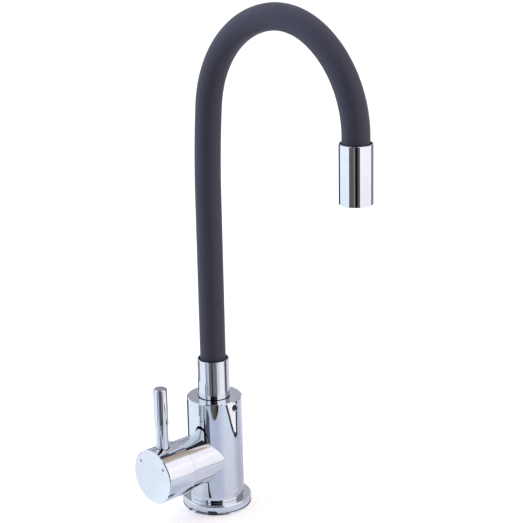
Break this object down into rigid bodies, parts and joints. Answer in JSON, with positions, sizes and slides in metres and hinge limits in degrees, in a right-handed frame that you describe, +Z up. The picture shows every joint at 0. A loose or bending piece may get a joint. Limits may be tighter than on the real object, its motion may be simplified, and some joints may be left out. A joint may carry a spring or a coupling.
{
  "type": "kitchen mixer tap",
  "caption": "Chromed single-lever kitchen mixer tap with a bendable dark silicone gooseneck hose that holds its shape, and a slim pin lever on a side-mounted cartridge.",
  "frame": {"origin": "middle of the underside that stands on the worktop, on the axis of the body", "axes": "+Z up along the body, -Y the way the cartridge housing and the lever point, +X the way the spout reaches at rest"},
  "size_m": [0.2139, 0.1032, 0.4538],
  "materials": {
    "chrome": "polished, chrome plated brass",
    "brass": "machined",
    "steel": "machined stainless",
    "disc_ceramic": "lapped alumina",
    "cartridge_plastic": "moulded acetal",
    "glide_plastic": "moulded PTFE",
    "tube_plastic": "extruded PEX",
    "aerator_plastic": "moulded",
    "aerator_metal": "chrome plated brass",
    "seal_rubber": "moulded EPDM",
    "bush_rubber": "moulded EPDM",
    "hose_silicone": "matt, extruded silicone",
    "mark_enamel": "dark enamel"
  },
  "bodies": {
    "base": {"base_ring": "chrome", "base_seal": "seal_rubber", "tap_body": "chrome", "spout_lock_screw": "steel", "cartridge_base": "cartridge_plastic", "cartridge_port_seals": "seal_rubber", "fixed_disc": "disc_ceramic", "cartridge_case": "cartridge_plastic", "cartridge_nut": "brass"},
    "mixing_guide": {"lever_guide": "cartridge_plastic", "pivot_pin": "steel"},
    "valve_slide": {"moving_disc": "disc_ceramic", "disc_driver": "cartridge_plastic"},
    "lever": {"spindle": "steel", "lever_hub": "chrome", "temperature_marks": "mark_enamel", "lever_stem": "chrome", "lever_grip": "chrome"},
    "spout": {"swivel_spigot": "brass", "spigot_seals": "seal_rubber", "glide_rings": "glide_plastic", "spout_ferrule": "chrome", "ferrule_bush": "bush_rubber", "lower_hose_nut": "brass", "hose_sleeve_01": "hose_silicone", "hose_core_01": "steel", "water_tube_01": "tube_plastic"},
    "hose_02": {"hose_sleeve_02": "hose_silicone", "hose_core_02": "steel", "water_tube_02": "tube_plastic"},
    "hose_03": {"hose_sleeve_03": "hose_silicone", "hose_core_03": "steel", "water_tube_03": "tube_plastic"},
    "hose_04": {"hose_sleeve_04": "hose_silicone", "hose_core_04": "steel", "water_tube_04": "tube_plastic"},
    "hose_05": {"hose_sleeve_05": "hose_silicone", "hose_core_05": "steel", "water_tube_05": "tube_plastic"},
    "hose_06": {"hose_sleeve_06": "hose_silicone", "hose_core_06": "steel", "water_tube_06": "tube_plastic"},
    "hose_07": {"hose_sleeve_07": "hose_silicone", "hose_core_07": "steel", "water_tube_07": "tube_plastic"},
    "hose_08": {"hose_sleeve_08": "hose_silicone", "hose_core_08": "steel", "water_tube_08": "tube_plastic"},
    "hose_09": {"hose_sleeve_09": "hose_silicone", "hose_core_09": "steel", "water_tube_09": "tube_plastic"},
    "outlet": {"hose_sleeve_10": "hose_silicone", "hose_core_10": "steel", "water_tube_10": "tube_plastic", "outlet_bush": "bush_rubber", "outlet_nut": "brass", "outlet_sleeve": "chrome", "aerator_washer": "seal_rubber", "aerator_housing": "aerator_metal", "aerator_insert": "aerator_plastic"}
  },
  "joints": [
    {"name": "temperature", "type": "hinge", "parent": "base", "child": "mixing_guide", "pos_m": [0, -0.0395, 0.0481], "axis": [0, -1, 0], "range_deg": [-45, 45]},
    {"name": "flow", "type": "hinge", "parent": "mixing_guide", "child": "lever", "pos_m": [0, -0.0395, 0.0481], "axis": [1, 0, 0], "range_deg": [0, 25]},
    {"name": "disc_slide", "type": "slide", "parent": "mixing_guide", "child": "valve_slide", "axis": [0, 0, 1], "range_m": [0, 0.00487]},
    {"name": "spout_swivel", "type": "hinge", "parent": "base", "child": "spout", "pos_m": [0, 0, 0.0997], "axis": [0, 0, 1], "continuous": true},
    {"name": "hose_bend_1", "type": "hinge", "parent": "spout", "child": "hose_02", "pos_m": [0, 0, 0.16], "axis": [0, 1, 0], "range_deg": [-42, 42]},
    {"name": "hose_bend_2", "type": "hinge", "parent": "hose_02", "child": "hose_03", "pos_m": [0, 0, 0.21536], "axis": [1, 0, 0], "range_deg": [-42, 42]},
    {"name": "hose_bend_3", "type": "hinge", "parent": "hose_03", "child": "hose_04", "pos_m": [0, 0, 0.27072], "axis": [0, 1, 0], "range_deg": [-43, 39]},
    {"name": "hose_bend_4", "type": "hinge", "parent": "hose_04", "child": "hose_05", "pos_m": [0.00121, 0, 0.32606], "axis": [0, 1, 0], "range_deg": [-46, 34]},
    {"name": "hose_bend_5", "type": "hinge", "parent": "hose_05", "child": "hose_06", "pos_m": [0.00826, 0, 0.3808], "axis": [0, 1, 0], "range_deg": [-73, 12]},
    {"name": "hose_bend_6", "type": "hinge", "parent": "hose_06", "child": "hose_07", "pos_m": [0.0403, 0, 0.42491], "axis": [0, 1, 0], "range_deg": [-77, 8]},
    {"name": "hose_bend_7", "type": "hinge", "parent": "hose_07", "child": "hose_08", "pos_m": [0.09175, 0, 0.44278], "axis": [-0.0009, 0, 1], "range_deg": [-42, 42]},
    {"name": "hose_bend_8", "type": "hinge", "parent": "hose_08", "child": "hose_09", "pos_m": [0.14216, 0, 0.42309], "axis": [0, 1, 0], "range_deg": [-80, 4]},
    {"name": "hose_bend_9", "type": "hinge", "parent": "hose_09", "child": "outlet", "pos_m": [0.16897, 0, 0.3758], "axis": [0, 1, 0], "range_deg": [-72, 12]}
  ],
  "couplings": [
    {"joint": "disc_slide", "follows": "flow", "m_per_rad": 0.01114}
  ]
}
